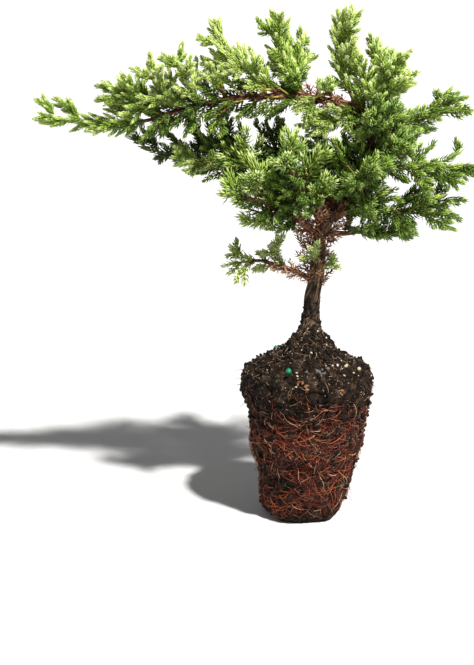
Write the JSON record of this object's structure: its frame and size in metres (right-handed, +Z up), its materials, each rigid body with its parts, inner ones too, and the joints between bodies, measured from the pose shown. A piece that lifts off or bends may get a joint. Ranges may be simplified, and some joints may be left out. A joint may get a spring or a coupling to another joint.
{
  "type": "juniper starter plant",
  "caption": "Young creeping juniper, its crown of needle shoots leaning out on a long side bough, standing on a bare tapered root ball.",
  "frame": {"origin": "middle of the root ball's flat underside, where the plant stands", "axes": "+Z up along the trunk, +X towards the short right side of the crown, -X along the long left bough, -Y towards the viewer of the picture"},
  "size_m": [0.1644, 0.0825, 0.1938],
  "materials": {
    "soil": "matt, crumbly",
    "bark": "matt, fissured",
    "foliage_young": "satin, yellow-green young needles",
    "foliage_green": "satin, mid-green needles",
    "foliage_shaded": "satin, deep green needles"
  },
  "bodies": {
    "root": {"root_ball": "soil", "trunk": "bark", "bough_back": "bark", "bough_back_right": "bark", "bough_front": "bark", "bough_front_left": "bark", "bough_long_left": "bark", "bough_low_left": "bark", "bough_right_high": "bark", "bough_right_low": "bark", "bough_right_middle": "bark", "bough_right_upper": "bark", "bough_shaded_left": "bark", "bough_side_left": "bark", "foliage_left_tip": "foliage_young", "foliage_left_wing": "foliage_young", "foliage_crest_far": "foliage_young", "foliage_crest_outer": "foliage_young", "foliage_crest_mid": "foliage_young", "foliage_crest_cross": "foliage_young", "foliage_shaded_front": "foliage_young", "foliage_crest_tall": "foliage_green", "foliage_crest_inner": "foliage_green", "foliage_crest_back": "foliage_green", "foliage_crest_hanging": "foliage_green", "foliage_shaded_rise": "foliage_green", "foliage_front_tall": "foliage_green", "foliage_front_centre": "foliage_green", "foliage_front_lower": "foliage_green", "foliage_side_high": "foliage_green", "foliage_side_out": "foliage_green", "foliage_side_low": "foliage_green", "foliage_low_tip": "foliage_green", "foliage_low_upper": "foliage_green", "foliage_low_right": "foliage_green", "foliage_low_front": "foliage_green", "foliage_right_low": "foliage_green", "foliage_right_middle": "foliage_green", "foliage_right_middle_front": "foliage_green", "foliage_right_upper": "foliage_green", "foliage_right_upper_front": "foliage_green", "foliage_right_high": "foliage_green", "foliage_right_plume": "foliage_green", "foliage_top_spire": "foliage_green", "foliage_top_right": "foliage_green", "foliage_top_front": "foliage_green", "foliage_top_low_front": "foliage_green", "foliage_centre_front": "foliage_green", "foliage_front": "foliage_green", "foliage_back": "foliage_green", "foliage_back_left": "foliage_green", "foliage_back_right": "foliage_green", "foliage_back_upper": "foliage_green", "foliage_back_upper_left": "foliage_green", "foliage_centre_low": "foliage_shaded", "foliage_centre_back": "foliage_shaded", "foliage_shaded_tip": "foliage_shaded", "foliage_shaded_back": "foliage_shaded", "foliage_shaded_middle": "foliage_shaded", "foliage_shaded_inner": "foliage_shaded"}
  },
  "joints": []
}
